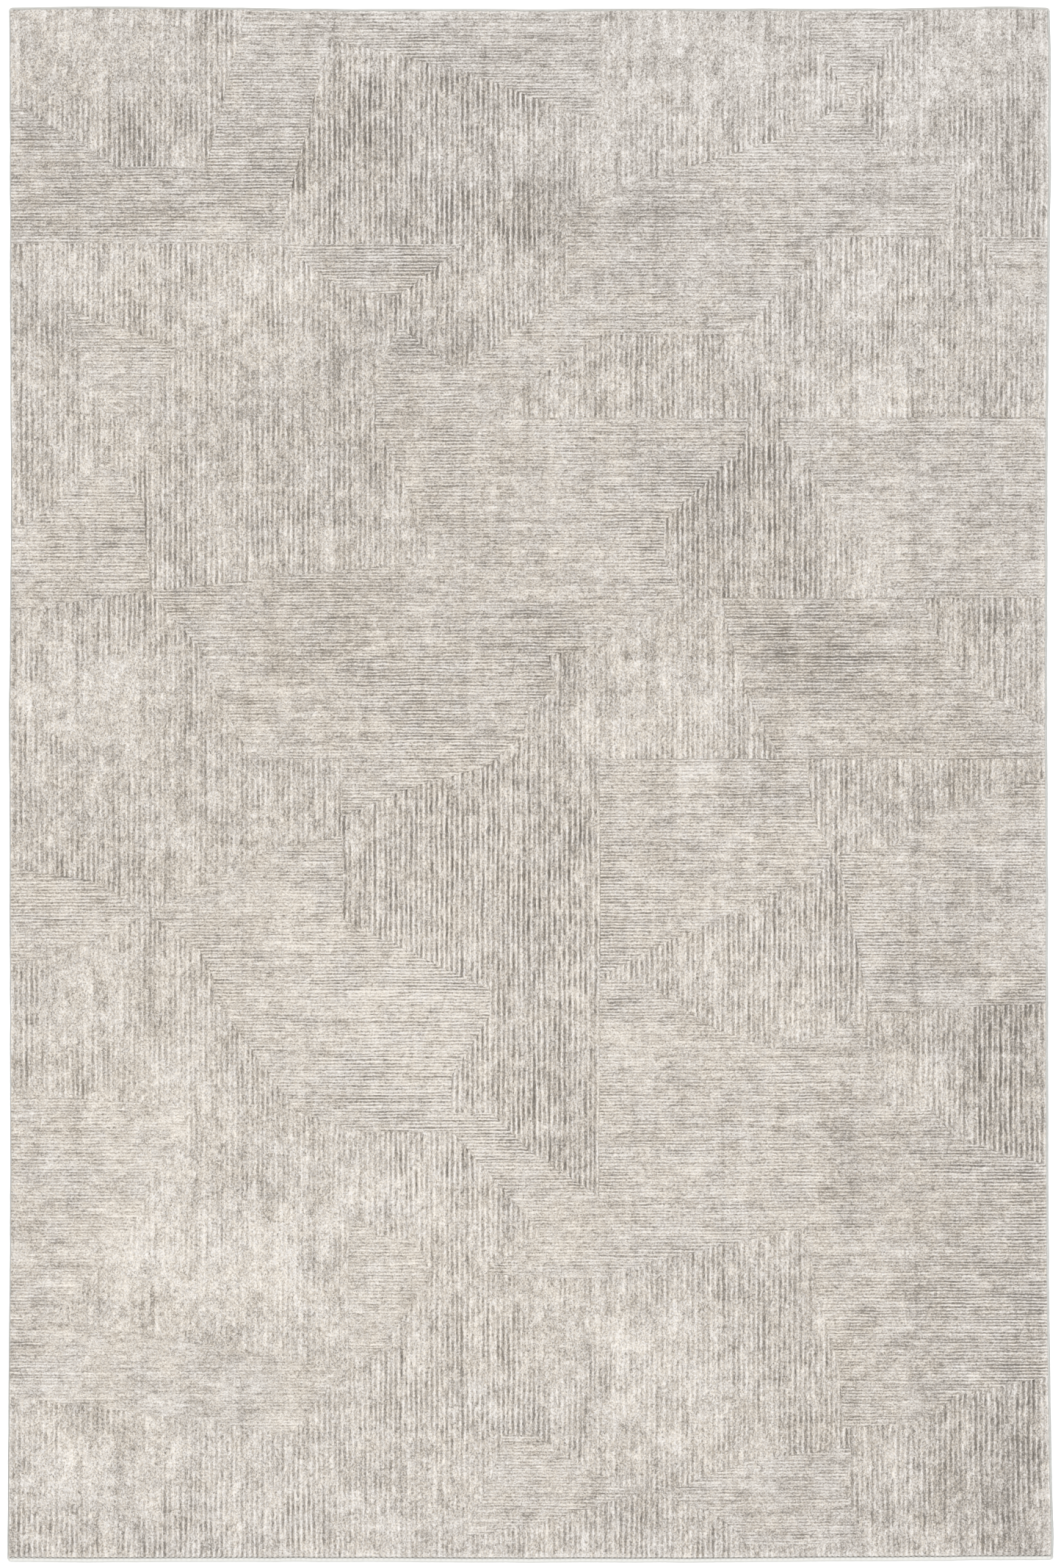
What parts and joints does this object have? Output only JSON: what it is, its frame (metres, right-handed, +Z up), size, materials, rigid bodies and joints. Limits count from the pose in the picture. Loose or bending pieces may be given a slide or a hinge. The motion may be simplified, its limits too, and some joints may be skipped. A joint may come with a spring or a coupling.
{
  "type": "area rug",
  "caption": "Rectangular area rug, 1.6 by 2.4 m, with a greige patchwork pile ribbed along and across, serged sides and hemmed ends.",
  "frame": {"origin": "middle of the underside, on the floor", "axes": "+X across the rug, +Y along its length towards the top end, +Z up out of the pile"},
  "size_m": [1.6, 2.4, 0.01],
  "materials": {
    "long_rib_pile": "heathered ivory and taupe pile yarn in bold ribs, soft matt",
    "cross_rib_pile": "heathered greige pile yarn in fine ribs, soft matt",
    "ground": "natural woven ground",
    "size_coat": "thin matt size over the weave",
    "cord": "twisted warp ends",
    "serging_thread": "pale grey overcast thread",
    "hem_tape": "pale grey twill tape",
    "sewing_thread": "grey sewing thread"
  },
  "bodies": {
    "root": {"size_coat": "size_coat", "ground_weave": "ground", "selvedge_cord_left": "cord", "selvedge_cord_right": "cord", "serging_left": "serging_thread", "serging_right": "serging_thread", "end_hem_top": "hem_tape", "end_hem_bottom": "hem_tape", "hem_stitches_top": "sewing_thread", "hem_stitches_bottom": "sewing_thread", "corner_tacks": "sewing_thread", "cross_rib_field_01": "cross_rib_pile", "cross_rib_field_02": "cross_rib_pile", "cross_rib_field_03": "cross_rib_pile", "cross_rib_field_04": "cross_rib_pile", "cross_rib_field_05": "cross_rib_pile", "cross_rib_field_06": "cross_rib_pile", "cross_rib_field_07": "cross_rib_pile", "cross_rib_field_08": "cross_rib_pile", "cross_rib_field_09": "cross_rib_pile", "cross_rib_field_10": "cross_rib_pile", "cross_rib_field_11": "cross_rib_pile", "cross_rib_field_12": "cross_rib_pile", "cross_rib_field_13": "cross_rib_pile", "cross_rib_field_14": "cross_rib_pile", "cross_rib_field_15": "cross_rib_pile", "cross_rib_field_16": "cross_rib_pile", "cross_rib_field_17": "cross_rib_pile", "cross_rib_field_18": "cross_rib_pile", "cross_rib_field_19": "cross_rib_pile", "cross_rib_field_20": "cross_rib_pile", "cross_rib_field_21": "cross_rib_pile", "cross_rib_field_22": "cross_rib_pile", "cross_rib_field_23": "cross_rib_pile", "cross_rib_field_24": "cross_rib_pile", "cross_rib_field_25": "cross_rib_pile", "long_rib_field_01": "long_rib_pile", "long_rib_field_02": "long_rib_pile", "long_rib_field_03": "long_rib_pile", "long_rib_field_04": "long_rib_pile", "long_rib_field_05": "long_rib_pile", "long_rib_field_06": "long_rib_pile", "long_rib_field_07": "long_rib_pile", "long_rib_field_08": "long_rib_pile", "long_rib_field_09": "long_rib_pile", "long_rib_field_10": "long_rib_pile", "long_rib_field_11": "long_rib_pile", "long_rib_field_12": "long_rib_pile", "long_rib_field_13": "long_rib_pile", "long_rib_field_14": "long_rib_pile", "long_rib_field_15": "long_rib_pile", "long_rib_field_16": "long_rib_pile", "long_rib_field_17": "long_rib_pile", "long_rib_field_18": "long_rib_pile", "long_rib_field_19": "long_rib_pile", "long_rib_field_20": "long_rib_pile", "long_rib_field_21": "long_rib_pile", "long_rib_field_22": "long_rib_pile", "long_rib_field_23": "long_rib_pile", "long_rib_field_24": "long_rib_pile"}
  },
  "joints": []
}
